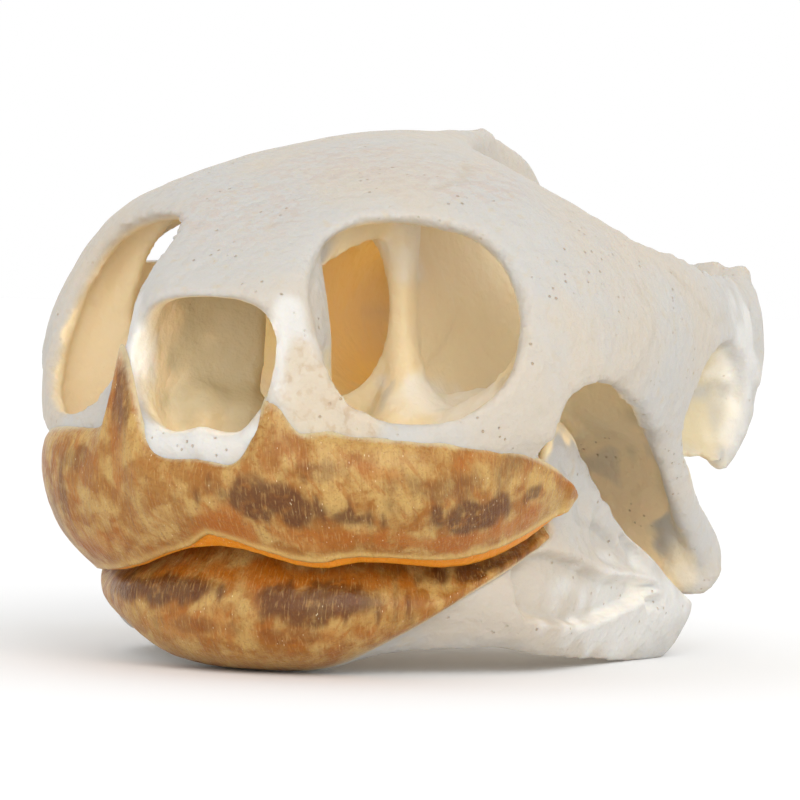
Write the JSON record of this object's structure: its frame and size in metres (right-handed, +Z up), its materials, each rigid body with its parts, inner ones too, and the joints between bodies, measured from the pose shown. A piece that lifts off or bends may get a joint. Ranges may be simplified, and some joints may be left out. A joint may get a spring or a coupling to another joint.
{
  "type": "pond turtle skull",
  "caption": "Cleaned pond turtle skull standing on its lower jaw, mouth closed, with the brown horn of the beak still on both jaws.",
  "frame": {"origin": "centre of the base of the box round the whole skull, on the surface that it stands on", "axes": "+Z up, -Y along the snout, +X towards the animal's left"},
  "size_m": [0.0346, 0.0446, 0.0301],
  "materials": {
    "bone": "satin",
    "horn": "gloss"
  },
  "bodies": {
    "root": {"cranium": "bone", "lower_jaw": "bone", "upper_beak_sheath": "horn", "lower_beak_sheath": "horn"}
  },
  "joints": []
}
